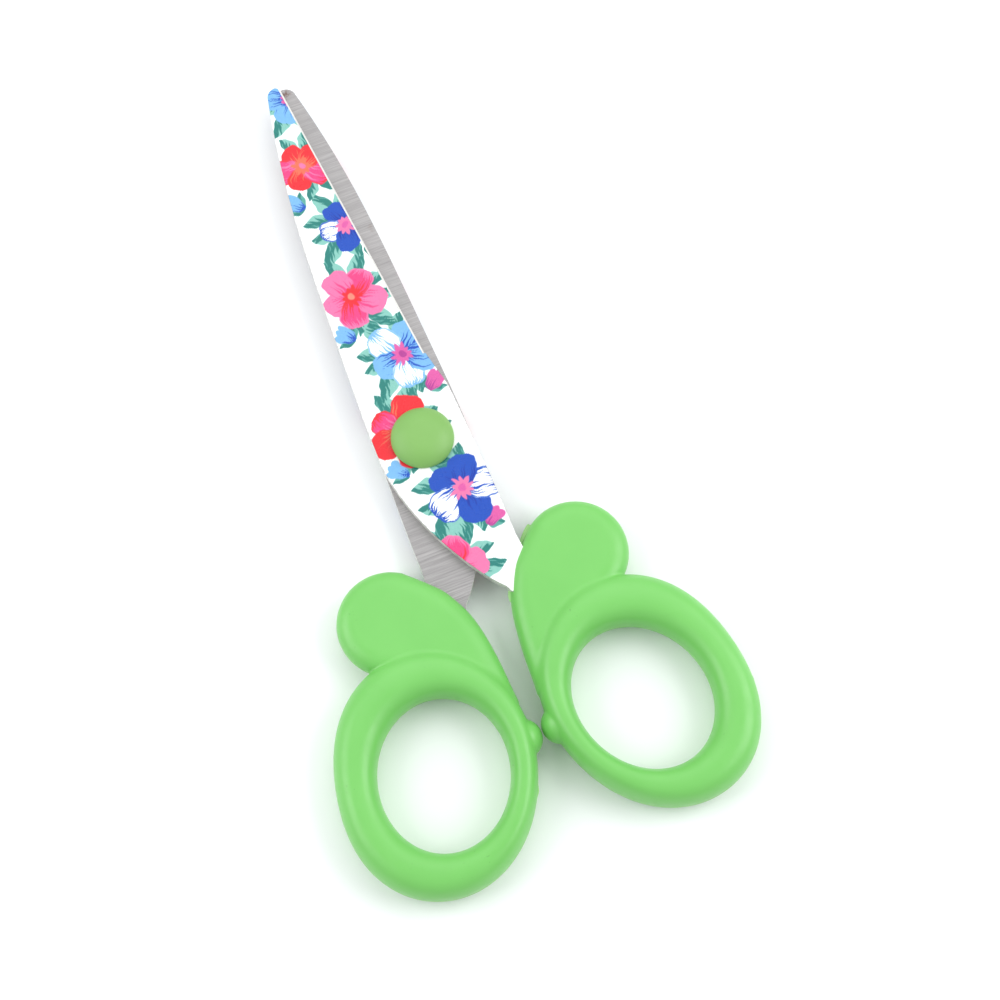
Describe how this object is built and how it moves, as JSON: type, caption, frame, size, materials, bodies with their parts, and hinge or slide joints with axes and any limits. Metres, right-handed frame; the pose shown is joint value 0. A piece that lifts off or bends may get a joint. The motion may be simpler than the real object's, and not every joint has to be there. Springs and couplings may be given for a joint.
{
  "type": "children's craft scissors",
  "caption": "Small craft scissors with straight cutting edges, flower-printed blades, rounded tips, moulded handles with oval finger bows, and a capped rivet pivot.",
  "frame": {"origin": "on the pivot axis, at the level of the flat crown of the rear cap, on which the scissors rest", "axes": "+Y along the closed blades towards the tips, +Z along the pivot axis towards the printed front face, +X towards the front blade's handle"},
  "size_m": [0.0666, 0.1347, 0.008],
  "materials": {
    "blade_steel": "ground across the blade",
    "print_film": "white base coat with a flower print",
    "handle_plastic": "fine satin moulding",
    "cap_plastic": "fine satin moulding",
    "rivet_steel": "nickel plated",
    "washer_plastic": "plain nylon"
  },
  "bodies": {
    "rear_half": {"rear_blade": "blade_steel", "rear_blade_print": "print_film", "rear_handle": "handle_plastic", "rivet_barrel": "rivet_steel", "rivet_pin": "rivet_steel", "flat_washer": "washer_plastic", "spring_washer": "rivet_steel", "front_cap": "cap_plastic", "rear_cap": "cap_plastic"},
    "front_half": {"front_blade": "blade_steel", "front_blade_print": "print_film", "front_handle": "handle_plastic"}
  },
  "joints": [
    {"name": "pivot", "type": "hinge", "parent": "rear_half", "child": "front_half", "pos_m": [0, 0, 0.004], "axis": [0, 0, 1], "range_deg": [0, 117]}
  ]
}
